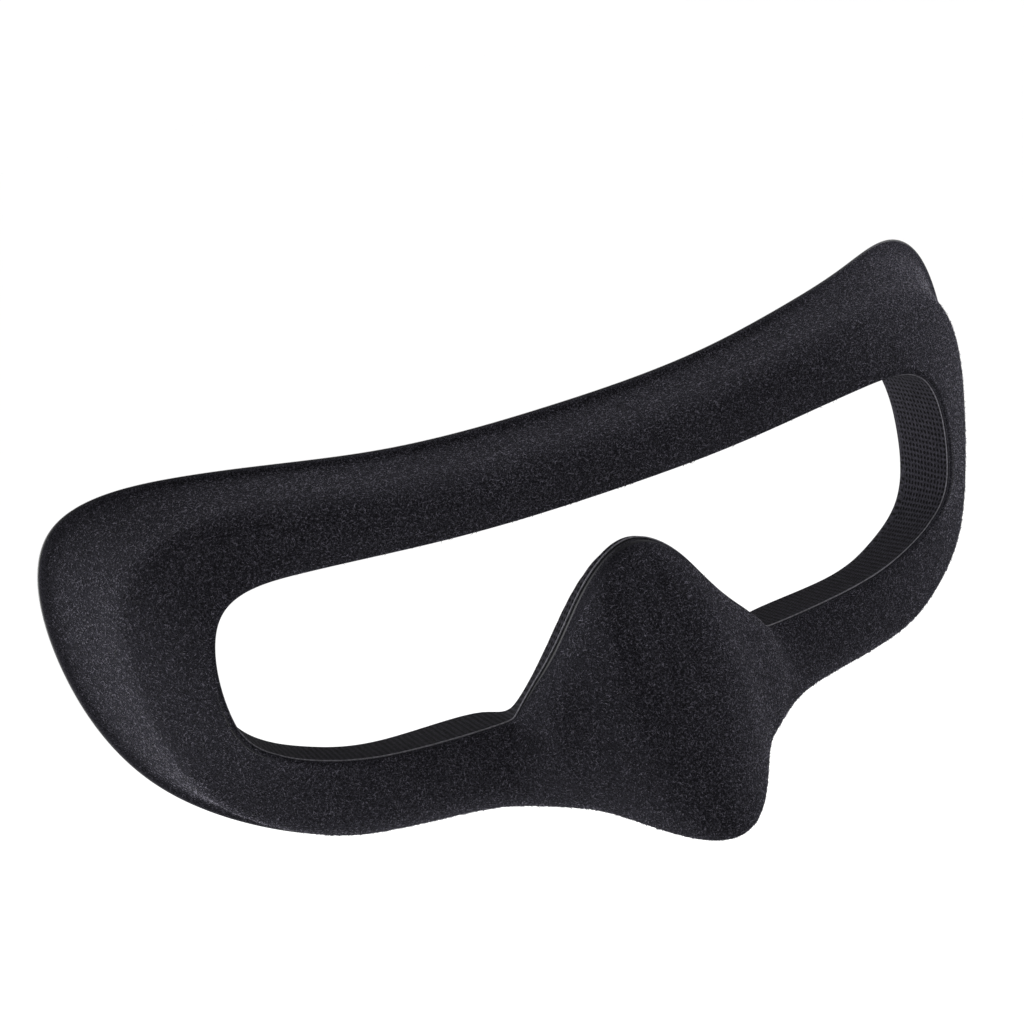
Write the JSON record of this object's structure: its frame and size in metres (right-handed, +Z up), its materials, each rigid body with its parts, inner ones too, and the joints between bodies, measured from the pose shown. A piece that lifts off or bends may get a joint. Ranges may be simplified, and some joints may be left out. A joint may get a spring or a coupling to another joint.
{
  "type": "face pad of fpv goggles",
  "caption": "Soft moulded face pad of video goggles: one wide eye opening with a nose dome, loop-pile front, net lining, foam core and pressed rim.",
  "frame": {"origin": "middle of the pad's seat on the goggles, on the mirror plane, level with the seam of the opening at the brow", "axes": "+X across the face, -Y towards the goggles, +Y towards the wearer, +Z up"},
  "size_m": [0.185, 0.0643, 0.0793],
  "materials": {
    "loop_pile": "matte brushed loop pile",
    "net": "matte fine net",
    "pressed_edge": "smooth satin, pressed and welded",
    "foam": "matte open-cell foam",
    "bond_web": "dull translucent"
  },
  "bodies": {
    "root": {"pile_cover": "loop_pile", "front_bond_web": "bond_web", "foam_core": "foam", "nose_foam": "foam", "rear_bond_web": "bond_web", "mesh_cover": "net", "opening_seam": "pressed_edge", "rim_flange": "pressed_edge"}
  },
  "joints": []
}
